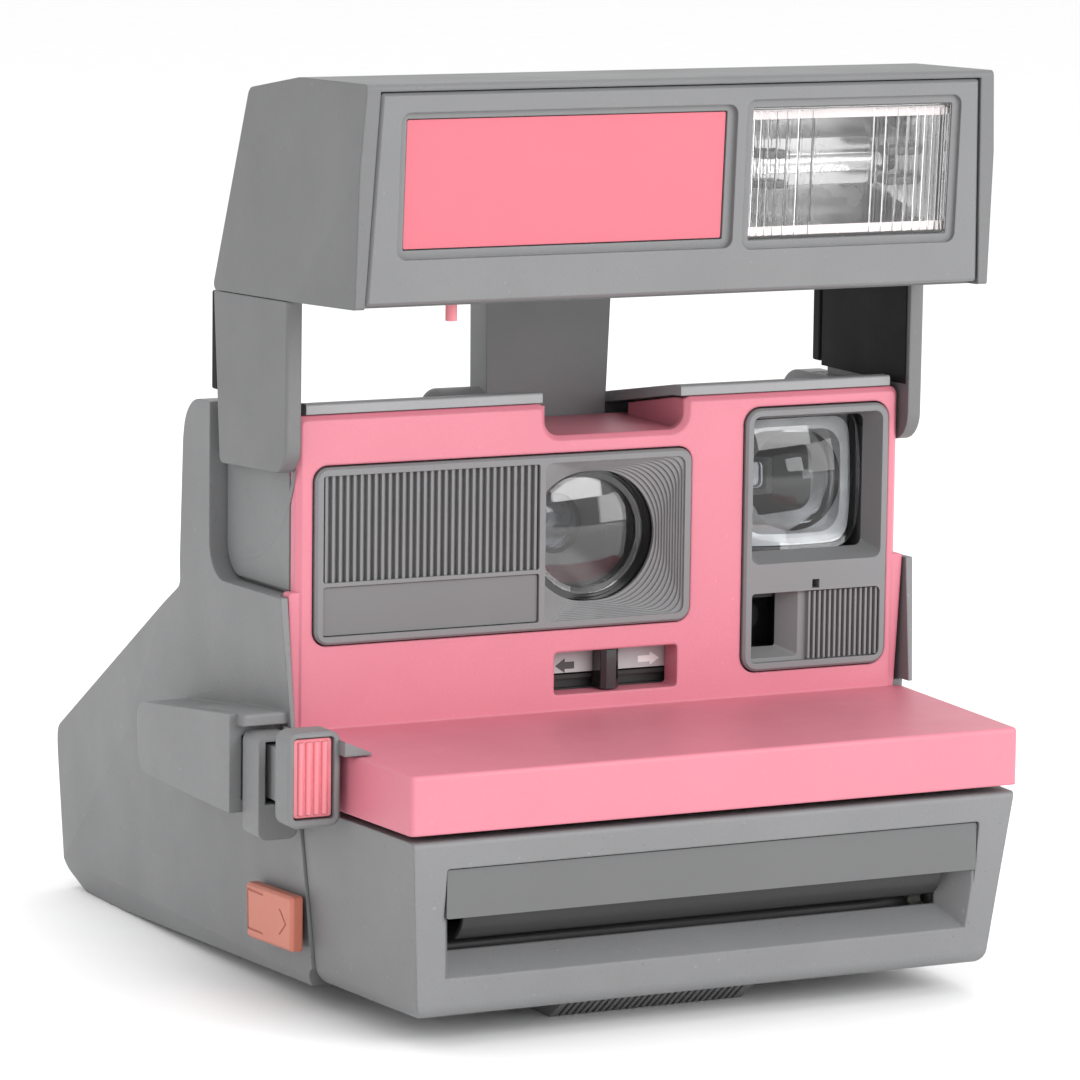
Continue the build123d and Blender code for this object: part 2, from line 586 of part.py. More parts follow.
def roller_frame():
    """End plates that carry both rollers, joined by a bar behind them."""
    frame = block(-50.6, 50.6, 28.0, 31.0, 8.6, 11.6)
    for side in (-1, 1):
        x0, x1 = sorted((side * 48.2, side * 49.8))
        plate = block(x0, x1, 13.4, 31.0, 8.6, 26.8)
        frame += plate
    frame -= rod_x(1.55, -60, 60, ROLLER_Y, UPPER_Z)
    frame -= rod_x(1.55, -60, 60, ROLLER_Y, LOWER_Z)
    return frame


def door_foot():
    """Ribbed rubber foot under the door."""
    foot = side_prism([(17.8, 0, 0), (31, 0, 0), (33.5, 2.4, 0), (33.5, 4.3, 0), (13.4, 4.9, 0),
                       (13.4, 3.4, 0)], -22.0, 14.0)
    pitch = 1.25
    count = int(34 / pitch)
    for index in range(count):
        x = -21.0 + pitch * (index + 0.5)
        foot -= block(x - 0.28, x + 0.28, 12, 30, -1, 0.55)
        foot -= Pos(x, 15.6, 1.75) * Rot(-37.7, 0, 0) * Box(0.56, 5.6, 1.1)
    return foot


# --- Latch ----------------------------------------------------------------------
def door_latch():
    """Sliding latch with a raised border and an arrow that points forwards."""
    pad = side_prism([(36.8, 10.3, 0.6), (36.8, 19.6, 0.6), (55.4, 18.7, 0.6), (54.8, 9.4, 0.6)],
                     -60.3, -58.2)
    edge = pad.edges().filter_by(lambda e: abs(e.center().X + 60.3) < 0.01)
    pad = chamfer(edge, 0.5)
    groove = 0.35
    border = (side_prism([(41.6, 11.4, 0), (54.4, 10.9, 0), (54.6, 17.9, 0), (41.6, 18.4, 0)], -62, -60.1)
              - side_prism([(30, 11.4 + groove, 0), (54.0, 10.9 + groove, 0), (54.2, 17.9 - groove, 0),
                            (30, 18.4 - groove, 0)], -63, -59))
    border &= block(-62, -58, 48.2, 56, 9, 20)
    arrow = side_prism([(38.7, 14.6, 0), (41.2, 12.5, 0), (41.7, 12.5, 0), (39.2, 14.6, 0),
                        (41.7, 16.8, 0), (41.2, 16.8, 0)], -62, -60.1)
    pad -= border
    pad -= arrow
    stem = block(-58.4, -54.2, 43.4, 49.8, 13.0, 16.5)
    hook = block(-54.4, -53.0, 43.4, 49.8, 12.2, 17.4)
    return pad + stem + hook


# --- Flash unit -----------------------------------------------------------------
def flash_plane(depth):
    """Plane parallel to the flash unit's front face, a depth behind it."""
    lean = math.radians(FLASH_LEAN)
    normal = (0, -math.cos(lean), -math.sin(lean))
    origin = tuple(b - depth * n for b, n in zip(FLASH_BASE, normal))
    return Plane(origin=origin, x_dir=(1, 0, 0), z_dir=normal)


def flash_prism(corners, d0, d1):
    """Extrude an (x, height) outline from depth d0 to d1 behind the front face."""
    return extrude(flash_plane(d0) * outline(corners), amount=d0 - d1)


def flash_form(inset):
    i = inset
    side = side_prism([(17.6 + i, 118.6 + 0.6 * i, 0.5), (15.4 + i, 154.7 - i, 0.8),
                       (41.5, 154.1 - i, 3), (61.0 - 0.8 * i, 151.1 - i, 2.0),
                       (70.9 - 1.2 * i, 116.7 + 0.6 * i, 1.2)], -62, 62)
    draft = front_prism([(-60.4 + i, 110, 0), (60.4 - i, 110, 0), (57.6 - i, 155, 0),
                         (-57.6 + i, 155, 0)], 10, 75)
    plan = plan_prism([(-58.2 + i, 12, 0), (58.2 - i, 12, 0), (HALF_WIDTH - i, 40, 0),
                       (HALF_WIDTH - i, 75, 0), (-HALF_WIDTH + i, 75, 0), (-HALF_WIDTH + i, 40, 0)],
                      110, 156)
    return side & draft & plan


PANEL = [(-56.6, 0.5, 0.6), (56.6, 0.5, 0.6), (55.0, 34.7, 0.6), (-55.0, 34.7, 0.6)]
LABEL = (-49.9, 7.7, 9.4, 30.2)
GLASS = (12.7, 50.2, 8.9, 30.7)


def flash_rear_shell():
    shell = flash_form(0)
    shell -= flash_form(2.0)
    grown = [(u + (0.25 if u > 0 else -0.25), v + (0.25 if v > 10 else -0.9), 0) for u, v, r in PANEL]
    shell -= flash_prism(grown, -4, 3.2)
    # root of the post
    shell -= block(-10.9, 13.7, 66.4, 75, 110, 117.9)
    return max(shell.solids(), key=lambda s: s.volume)


def flash_front_panel():
    panel = flash_prism(PANEL, 0, 3.0)
    lean_front = [e for e in panel.edges() if abs(flash_plane(0).to_local_coords(e.center()).Z) < 0.01]
    panel = chamfer(lean_front, 0.5)
    x0, x1, h0, h1 = LABEL
    panel -= flash_prism(rounded(x0 - 1.5, x1 + 1.7, h0 - 1.6, h1 + 1.3, 1.6), -1, 0.9)
    panel -= flash_prism(rounded(x0 - 0.2, x1 + 0.2, h0 - 0.2, h1 + 0.2, 0.3), 0.5, 2.0)
    x0, x1, h0, h1 = GLASS
    panel -= flash_prism(rounded(x0 - 1.5, x1 + 1.5, h0 - 1.5, h1 + 1.5, 1.6), -1, 0.7)
    panel -= flash_prism(rounded(x0 - 0.1, x1 + 0.1, h0 - 0.1, h1 + 0.1, 0.3), 0.5, 5)
    return panel


def flash_label():
    x0, x1, h0, h1 = LABEL
    return flash_prism(rounded(x0, x1, h0, h1, 0.3), 1.2, 2.0)


def flash_window():
    """Clear prism window: plain in the middle, ribbed towards both ends."""
    x0, x1, h0, h1 = GLASS
    glass = flash_prism(rounded(x0, x1, h0, h1, 0.2), 0.9, 2.6)
    width = x1 - x0
    left = [0.018, 0.052, 0.088, 0.13, 0.18, 0.24, 0.31]
    right = [0.62, 0.68, 0.74, 0.79, 0.84, 0.88, 0.92, 0.955, 0.985]
    for share in left + right:
        x = x0 + share * width
        ridge = flash_prism([(x - 0.5, h0 + 0.6, 0), (x + 0.5, h0 + 0.6, 0), (x + 0.5, h1 - 0.6, 0),
                             (x - 0.5, h1 - 0.6, 0)], 0.55, 1.0)
        ridge &= flash_plane(1.0) * Pos(x, (h0 + h1) / 2, 0) * Rot(90, 0, 0) * Cylinder(0.45, h1 - h0)
        glass += ridge
    return glass


def flash_reflector():
    """Trough reflector behind the window."""
    x0, x1, h0, h1 = GLASS
    middle = (h0 + h1) / 2
    front = flash_plane(3.3) * Pos((x0 + x1) / 2, middle) * RectangleRounded(x1 - x0 - 0.6, h1 - h0 - 0.6, 1)
    back = flash_plane(14) * Pos((x0 + x1) / 2, middle) * RectangleRounded(22, 9, 1)
    front_in = flash_plane(3.2) * Pos((x0 + x1) / 2, middle) * RectangleRounded(x1 - x0 - 2, h1 - h0 - 2, 1)
    back_in = flash_plane(13.2) * Pos((x0 + x1) / 2, middle) * RectangleRounded(20.8, 7.8, 1)
    bowl = loft([front, back]) - loft([front_in, back_in])
    hole = flash_plane(11) * Pos((x0 + x1) / 2, middle) * Rot(0, 90, 0) * Cylinder(1.75, 60)
    return bowl - hole


def flash_tube():
    x0, x1, h0, h1 = GLASS
    middle = (h0 + h1) / 2
    return flash_plane(11) * Pos((x0 + x1) / 2, middle) * Rot(0, 90, 0) * Cylinder(1.6, 32)


def flash_capacitor():
    return rod_x(7.2, -44, -6, 42, 136)


def flash_board():
    board = block(-50, 44, 30, 60, 121.6, 123.2)
    board += block(20, 30, 36, 46, 123.2, 130)
    for x in (-34, -18, 4):
        board += rod_z(2.2, x, 53, 123.2, 128)
    return board


def flash_arm():
    """Left arm: a flat plate, slightly narrower towards its round-cornered foot."""
    arm = side_prism([(ARM_FRONT, ARM_TOP, 0), (ARM_FRONT + 0.2, ARM_BOTTOM + 1.4, 5),
                      (67.9, ARM_BOTTOM, 1.2), (70.6, ARM_TOP - 1.08, 0)], -HALF_WIDTH, -ARM_IN)
    rim = [e for e in arm.edges() if abs(e.center().X + HALF_WIDTH) < 0.01
           and e.center().Z < ARM_TOP - 2]
    arm = fillet(rim, 0.5)
    pin = rod_x(2.0, -ARM_IN - 0.01, -53.5, FOLD_Y, FOLD_Z)
    return arm + pin


def centre_post():
    """Dark post that carries the flash wiring, hinged at its left edge."""
    post = front_prism([(-10.4, 90, 0), (-10.6, 117.8, 0), (13.4, 117.8, 0), (12.3, 90, 0)], 67.4, 73.7)
    web = block(-14.0, -10.3, 67.4, 71.5, 91, 97)
    barrel = rod_x(6.0, -22.5, -13.5, FOLD_Y, FOLD_Z)
    left_rim = [e for e in barrel.edges() if abs(e.center().X + 22.5) < 0.01]
    barrel = fillet(left_rim, 1.4)
    return post + web + barrel - rod_x(2.05, -30, -14.1, FOLD_Y, FOLD_Z)


def hinge_axle():
    return rod_x(2.0, -28.0, -14.3, FOLD_Y, FOLD_Z)


def axle_bracket():
    """Upright that holds the axle beside the barrel."""
    bracket = block(-27.4, -24.9, 60.6, 70.6, 66, FOLD_Z + 3.6)
    return bracket - rod_x(2.0, -30, 30, FOLD_Y, FOLD_Z)


PIN_X = -37.4


def interlock_pin():
    return rod_z(0.95, PIN_X, 26.0, 115.3, 118.25)


# --- Inner works ----------------------------------------------------------------
def film_chamber():
    """Sleeve that takes the film pack from the front, with the picture aperture on top."""
    outer = block(-51, 51, 46.4, 138, 7.0, 28.0)
    inner = block(-48.6, 48.6, 40, 135.6, 9.2, 25.8)
    aperture = block(-40, 40, 54, 132, 20, 30)
    chamber = outer - inner - aperture
    for side in (-1, 1):
        x0, x1 = sorted((side * 48.4, side * 51.0))
        lug = rod_x(1.9, x0, x1, DOOR_HINGE_Y, DOOR_HINGE_Z)
        lug += block(x0, x1, DOOR_HINGE_Y, 47, DOOR_HINGE_Z + 0.8, DOOR_HINGE_Z + 1.9)
        chamber += lug - rod_x(0.8, -60, 60, DOOR_HINGE_Y, DOOR_HINGE_Z)
    return chamber


def battery_contacts():
    contacts = None
    for x in (-18, 18):
        strip = block(x - 2, x + 2, 100, 118, 9.25, 9.65) + block(x - 2, x + 2, 108, 110, 9.25, 10.6)
        contacts = strip if contacts is None else contacts + strip
    return contacts


BACK_DIRECTION = (65.2, -36.1)


def mirror_plate():
    """Mirror parallel to the slanted back, which folds the picture down to the film."""
    length = math.hypot(*BACK_DIRECTION)
    dy, dz = BACK_DIRECTION[0] / length, BACK_DIRECTION[1] / length
    ny, nz = dz, -dy
    corners = []
    for along, off in ((7, 5.0), (56, 5.0), (56, 6.8), (7, 6.8)):
        corners.append((84.6 + along * dy + off * ny, 64.6 + along * dz + off * nz, 0))
    return side_prism(corners, -42, 42)


MOTOR_Y, MOTOR_Z = 56.0, 40.0
PINION_TEETH, WHEEL_TEETH = 10, 30
GEAR_X = 49.0


def motor():
    can = rod_x(8.0, 18, 46, MOTOR_Y, MOTOR_Z) + rod_x(3.0, 46, 47.4, MOTOR_Y, MOTOR_Z)
    return can - rod_x(1.05, 40, 50, MOTOR_Y, MOTOR_Z)


def motor_pinion():
    wheel = Rot(0, 90, 0) * Rot(0, 0, 90 + 180 / PINION_TEETH) * gear(PINION_TEETH, 2.6)
    return Pos(GEAR_X, MOTOR_Y, MOTOR_Z) * wheel + rod_x(1.0, 42, 54.2, MOTOR_Y, MOTOR_Z)


def drive_wheel():
    centre = MOTOR_Y + GEAR_MODULE * (PINION_TEETH + WHEEL_TEETH) / 2
    wheel = Rot(0, 90, 0) * Rot(0, 0, 90) * gear(WHEEL_TEETH, 2.6)
    wheel = Pos(GEAR_X, centre, MOTOR_Z) * wheel
    return wheel + rod_x(1.2, 47.2, 54.2, centre, MOTOR_Z)


def gear_plate():
    centre = MOTOR_Y + GEAR_MODULE * (PINION_TEETH + WHEEL_TEETH) / 2
    plate = side_prism([(49, 31.5, 2), (79, 31.5, 2), (79, 50, 2), (49, 50, 2)], 52.4, 53.8)
    plate -= rod_x(1.05, 50, 56, MOTOR_Y, MOTOR_Z)
    return plate - rod_x(1.25, 50, 56, centre, MOTOR_Z)


def pick_arm():
    """Flat bar beside the chamber that pushes the exposed sheet to the rollers."""
    arm = block(51.5, 52.7, 62, 128, 12, 16)
    return arm + block(51.5, 52.7, 122, 128, 16, 20)


def circuit_board():
    board = block(-52.6, -26.0, 50.0, 51.6, 50, 86)
    for z in (56, 66, 76):
        board += block(-46, -34, 51.6, 54.0, z, z + 6)
    board += rod_y(3.0, -30, 51.6, 58, 55) + rod_y(2.2, -30, 51.6, 57, 64)
    return board


def button_spring():
    x = (BUTTON[0] + BUTTON[1]) / 2
    return Pos(x, BRACKET_Y + 2.7, 42.6) * Rot(-90, 0, 0) * spring(1.8, 0.2, 1.2, 2)


def latch_spring():
    return Pos(-53.4, 50.3, 14.8) * Rot(-90, 0, 0) * spring(0.9, 0.2, 8, 6)


NODES = {
    "rear_housing": rear_housing(),
    "top_cover": top_cover(),
    "front_fascia": front_fascia(),
    "lens_bezel": lens_bezel(),
    "lens_trim_plate": lens_trim_plate(),
    "lens_cone": lens_cone(),
    "cover_lens": cover_lens(),
    "taking_lens": taking_lens(),
    "shutter_housing": shutter_housing(),
    "shutter_blade_left": shutter_blade(-1, 66.9),
    "shutter_blade_right": shutter_blade(1, 68.4),
    "blade_magnet": blade_magnet(),
    "finder_bezel": finder_bezel(),
    "finder_front_lens": finder_front_lens(),
    "finder_tube": finder_tube(),
    "eyepiece": eyepiece(),
    "eye_lens": eye_lens(),
    "meter_cell": meter_cell(),
    "scale_plate": scale_plate(),
    "slider_rail": slider_rail(),
    "exposure_slider": exposure_slider(),
    "button_bracket": button_bracket(),
    "shutter_button": shutter_button(),
    "override_button": override_button(),
    "film_door": film_door(),
    "door_hinge_pin": door_hinge_pin(),
    "latch_spring": latch_spring(),
    "door_trim_plate": door_trim_plate(),
    "exit_flap": exit_flap(),
    "upper_roller": roller(UPPER_Z, 44.4),
    "lower_roller": roller(LOWER_Z, 44.4),
    "upper_roller_gear": roller_gear(UPPER_Z),
    "lower_roller_gear": roller_gear(LOWER_Z),
    "roller_frame": roller_frame(),
    "door_foot": door_foot(),
    "door_latch": door_latch(),
    "flash_rear_shell": flash_rear_shell(),
    "flash_front_panel": flash_front_panel(),
    "flash_label": flash_label(),
    "flash_window": flash_window(),
    "flash_reflector": flash_reflector(),
    "flash_tube": flash_tube(),
    "flash_capacitor": flash_capacitor(),
    "flash_board": flash_board(),
    "left_arm": flash_arm(),
    "right_arm": mirrored(flash_arm()),
    "centre_post": centre_post(),
    "hinge_axle": hinge_axle(),
    "axle_bracket": axle_bracket(),
    "interlock_pin": interlock_pin(),
    "film_chamber": film_chamber(),
    "battery_contacts": battery_contacts(),
    "mirror_plate": mirror_plate(),
    "motor": motor(),
    "motor_pinion": motor_pinion(),
    "drive_wheel": drive_wheel(),
    "gear_plate": gear_plate(),
    "pick_arm": pick_arm(),
    "circuit_board": circuit_board(),
    "button_spring": button_spring(),
}

for node, shape in NODES.items():
    save(shape, node)
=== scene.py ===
import math

import bmesh
import bpy
from mathutils import Matrix, Vector


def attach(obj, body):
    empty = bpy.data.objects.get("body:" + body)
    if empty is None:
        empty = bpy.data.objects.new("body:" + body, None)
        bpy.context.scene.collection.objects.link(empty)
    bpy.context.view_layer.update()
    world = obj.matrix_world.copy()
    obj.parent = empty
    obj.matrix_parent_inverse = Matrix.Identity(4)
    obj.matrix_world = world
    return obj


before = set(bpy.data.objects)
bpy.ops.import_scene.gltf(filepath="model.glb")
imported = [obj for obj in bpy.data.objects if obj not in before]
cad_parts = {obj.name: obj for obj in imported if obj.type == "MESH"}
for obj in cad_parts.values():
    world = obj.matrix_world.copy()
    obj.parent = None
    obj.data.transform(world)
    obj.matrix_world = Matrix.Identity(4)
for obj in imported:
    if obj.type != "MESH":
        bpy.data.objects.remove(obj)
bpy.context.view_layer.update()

# The CAD's working frame, in millimetres: X across, Y back from the shelf's front edge, Z up.
SHIFT = Vector((4.1, -74.7, 0.0))
FLASH_LEAN = math.asin(2.2 / 36.1)   # the flash unit's front face leans forward
FLASH_FOOT = (17.6, 118.6)           # y and z of that face's lower edge
LENS_MM, SENSOR_MM = 193.33, 36      # long lens on a full-width sensor
CAMERA_DISTANCE = 0.923827           # from the camera to the point it aims at


def at(x, y, z):
    """A point of the working frame, in metres in the row frame."""
    return (Vector((x, y, z)) + SHIFT) / 1000


# --- Camera and light -------------------------------------------------------------
def make_camera():
    yaw, pitch, roll = math.radians(26.836), math.radians(8.6154), math.radians(0.72983)
    forward = Vector((math.sin(yaw) * math.cos(pitch), math.cos(yaw) * math.cos(pitch), -math.sin(pitch)))
    right = Vector((math.cos(yaw), -math.sin(yaw), 0))
    up = right.cross(forward)
    across = right * math.cos(roll) + up * math.sin(roll)
    upward = up * math.cos(roll) - right * math.sin(roll)
    data = bpy.data.cameras.new("camera")
    data.sensor_width = SENSOR_MM
    data.lens = LENS_MM
    camera = bpy.data.objects.new("camera", data)
    turn = Matrix((across, upward, -forward)).transposed().to_4x4()
    place = at(-33.9006, 0, 82.7944) - forward * CAMERA_DISTANCE
    camera.matrix_world = Matrix.Translation(place) @ turn
    bpy.context.scene.collection.objects.link(camera)
    bpy.context.scene.camera = camera


def area_light(name, place, aim, size, power):
    data = bpy.data.lights.new(name, "AREA")
    data.shape = "RECTANGLE"
    data.size, data.size_y = size
    data.energy = power
    light = bpy.data.objects.new(name, data)
    light.location = place
    light.rotation_mode = "QUATERNION"
    light.rotation_quaternion = (Vector(aim) - Vector(place)).to_track_quat("-Z", "Y")
    bpy.context.scene.collection.objects.link(light)


def make_studio():
    world = bpy.data.worlds.new("studio")
    world.use_nodes = True
    world.node_tree.nodes["Background"].inputs["Color"].default_value = (1, 1, 1, 1)
    world.node_tree.nodes["Background"].inputs["Strength"].default_value = 1.0
    bpy.context.scene.world = world
    bpy.context.scene.view_settings.view_transform = "Standard"
    middle = (0, 0, 0.08)
    area_light("key", (0.35, -1.0, 0.55), middle, (0.7, 0.5), 7.0)
    area_light("top", (0.0, 0.2, 1.1), middle, (0.9, 0.7), 4.0)
    area_light("side", (-0.9, -0.45, 0.5), middle, (0.35, 0.6), 0.6)
    area_light("low", (0.85, -0.85, 0.17), middle, (0.5, 0.3), 1.6)

    floor_mesh = bpy.data.meshes.new("floor")
    form = bmesh.new()
    bmesh.ops.create_circle(form, cap_ends=True, segments=96, radius=6.0)
    form.to_mesh(floor_mesh)
    form.free()
    floor = bpy.data.objects.new("floor", floor_mesh)
    floor.location = (0, 0, -0.00005)
    bpy.context.scene.collection.objects.link(floor)
    floor_mesh.materials.append(paint("floor_paper", (0.985, 0.985, 0.985), rough=0.85, grain=0.0006,
                                      bump=0.05, mottle=0.01))


# --- Materials --------------------------------------------------------------------
class Nodes:
    """Short calls for building one material's nodes."""

    def __init__(self, name):
        self.material = bpy.data.materials.new(name)
        self.material.use_nodes = True
        self.tree = self.material.node_tree
        self.shader = self.tree.nodes["Principled BSDF"]
        self.place = self.add("ShaderNodeTexCoord").outputs["Object"]

    def add(self, kind, **values):
        node = self.tree.nodes.new(kind)
        for key, value in values.items():
            setattr(node, key, value)
        return node

    def link(self, a, b):
        self.tree.links.new(a, b)

    def noise(self, size, detail=2.0, rough=0.5, stretch=None):
        """Noise whose features are size metres wide."""
        node = self.add("ShaderNodeTexNoise")
        node.inputs["Scale"].default_value = 1 / size
        node.inputs["Detail"].default_value = detail
        node.inputs["Roughness"].default_value = rough
        place = self.place
        if stretch:
            mapping = self.add("ShaderNodeMapping")
            mapping.inputs["Scale"].default_value = stretch
            self.link(place, mapping.inputs["Vector"])
            place = mapping.outputs["Vector"]
        self.link(place, node.inputs["Vector"])
        return node.outputs["Fac"]

    def remap(self, value, low, high, to_low, to_high):
        node = self.add("ShaderNodeMapRange")
        self.link(value, node.inputs["Value"])
        for key, number in zip(("From Min", "From Max", "To Min", "To Max"), (low, high, to_low, to_high)):
            node.inputs[key].default_value = number
        return node.outputs["Result"]

    def math(self, operation, a, b):
        node = self.add("ShaderNodeMath", operation=operation)
        for socket, value in zip(node.inputs, (a, b)):
            if isinstance(value, (int, float)):
                socket.default_value = value
            else:
                self.link(value, socket)
        return node.outputs[0]

    def blend(self, factor, a, b):
        """Colour a where factor is 0 and b where it is 1."""
        node = self.add("ShaderNodeMix", data_type="RGBA")
        if isinstance(factor, (int, float)):
            node.inputs["Factor"].default_value = factor
        else:
            self.link(factor, node.inputs["Factor"])
        for socket, value in zip((node.inputs[6], node.inputs[7]), (a, b)):
            if isinstance(value, (tuple, list)):
                socket.default_value = (*value[:3], 1)
            else:
                self.link(value, socket)
        return node.outputs[2]

    def edges(self, radius):
        """1 on convex and concave edges, 0 on flat surfaces."""
        bevel = self.add("ShaderNodeBevel", samples=4)
        bevel.inputs["Radius"].default_value = radius
        flat = self.add("ShaderNodeNewGeometry")
        dot = self.add("ShaderNodeVectorMath", operation="DOT_PRODUCT")
        self.link(bevel.outputs["Normal"], dot.inputs[0])
        self.link(flat.outputs["Normal"], dot.inputs[1])
        return self.remap(dot.outputs["Value"], 0.985, 0.80, 0.0, 1.0)

    def bump(self, height, strength, distance, soften=0.0):
        node = self.add("ShaderNodeBump")
        node.inputs["Strength"].default_value = strength
        node.inputs["Distance"].default_value = distance
        self.link(height, node.inputs["Height"])
        if soften:
            bevel = self.add("ShaderNodeBevel", samples=4)
            bevel.inputs["Radius"].default_value = soften
            self.link(bevel.outputs["Normal"], node.inputs["Normal"])
        self.link(node.outputs["Normal"], self.shader.inputs["Normal"])


def scale_colour(colour, amount):
    return tuple(min(channel * amount, 1.0) for channel in colour)


def paint(name, colour, rough=0.5, grain=0.0004, bump=0.3, mottle=0.04, wear=0.0, soften=0.0,
          specks=0.0, brushed=None, coat=0.0, specular=0.5):
    """Moulded plastic: spark-eroded grain, soft mottling, fine specks and rubbed edges."""
    nodes = Nodes(name)
    wide = nodes.remap(nodes.noise(0.014, 3), 0.35, 0.65, 0, 1)
    tone = nodes.blend(wide, scale_colour(colour, 1 - mottle), scale_colour(colour, 1 + mottle))
    fine = nodes.noise(grain, 2, stretch=brushed)
    tone = nodes.blend(nodes.remap(fine, 0.3, 0.7, 0, 0.35), tone, scale_colour(colour, 0.93))
    if specks:
        dots = nodes.remap(nodes.noise(0.0006, 1), 0.72, 0.78, 0, specks)
        tone = nodes.blend(dots, tone, scale_colour(colour, 0.45))
        pale = nodes.remap(nodes.noise(0.0011, 1, stretch=(1, 1.3, 0.9)), 0.74, 0.80, 0, specks)
        tone = nodes.blend(pale, tone, scale_colour(colour, 1.7))
    if wear:
        rub = nodes.math("MULTIPLY", nodes.edges(0.0005), nodes.remap(nodes.noise(0.004, 3), 0.42,
                         0.62, 0.1, 1))
        tone = nodes.blend(nodes.math("MULTIPLY", rub, wear), tone, scale_colour(colour, 1.6))
    nodes.link(tone, nodes.shader.inputs["Base Color"])
    smudge = nodes.remap(nodes.noise(0.022, 4, 0.6), 0.3, 0.7, rough - 0.06, rough + 0.08)
    nodes.link(smudge, nodes.shader.inputs["Roughness"])
    nodes.shader.inputs["Specular IOR Level"].default_value = specular
    nodes.shader.inputs["Coat Weight"].default_value = coat
    nodes.bump(fine, bump, 0.00012, soften)
    return nodes.material


def metal(name, colour, rough=0.3, stretch=(1, 12, 12), size=0.0008, bump=0.15):
    nodes = Nodes(name)
    grain = nodes.noise(size, 3, stretch=stretch)
    nodes.link(nodes.blend(nodes.remap(grain, 0.3, 0.7, 0, 1), scale_colour(colour, 0.85), colour),
               nodes.shader.inputs["Base Color"])
    nodes.shader.inputs["Metallic"].default_value = 1.0
    nodes.link(nodes.remap(grain, 0.3, 0.7, rough - 0.05, rough + 0.1), nodes.shader.inputs["Roughness"])
    nodes.bump(grain, bump, 0.00005)
    return nodes.material


def glass(name, tint=(1, 1, 1), rough=0.02, ior=1.49, wave=0.0, coat=0.0):
    """Clear moulded acrylic; lamps shine through it."""
    nodes = Nodes(name)
    nodes.shader.inputs["Transmission Weight"].default_value = 1.0
    nodes.shader.inputs["IOR"].default_value = ior
    nodes.shader.inputs["Coat Weight"].default_value = coat
    haze = nodes.noise(0.006, 4, 0.6)
    nodes.link(nodes.remap(haze, 0.35, 0.75, rough, rough + 0.03), nodes.shader.inputs["Roughness"])
    nodes.link(nodes.blend(nodes.remap(haze, 0.3, 0.8, 0, 1), tint, scale_colour(tint, 0.97)),
               nodes.shader.inputs["Base Color"])
    if wave:
        nodes.bump(nodes.noise(0.008, 1), wave, 0.0004)
    output = nodes.tree.nodes["Material Output"]
    clear = nodes.add("ShaderNodeBsdfTransparent")
    clear.inputs["Color"].default_value = (*tint, 1)
    path = nodes.add("ShaderNodeLightPath")
    mix = nodes.add("ShaderNodeMixShader")
    nodes.link(path.outputs["Is Shadow Ray"], mix.inputs[0])
    nodes.link(nodes.shader.outputs[0], mix.inputs[1])
    nodes.link(clear.outputs[0], mix.inputs[2])
    nodes.link(mix.outputs[0], output.inputs["Surface"])
    return nodes.material


GREY = (0.192, 0.194, 0.198)
PINK = (0.60, 0.186, 0.242)


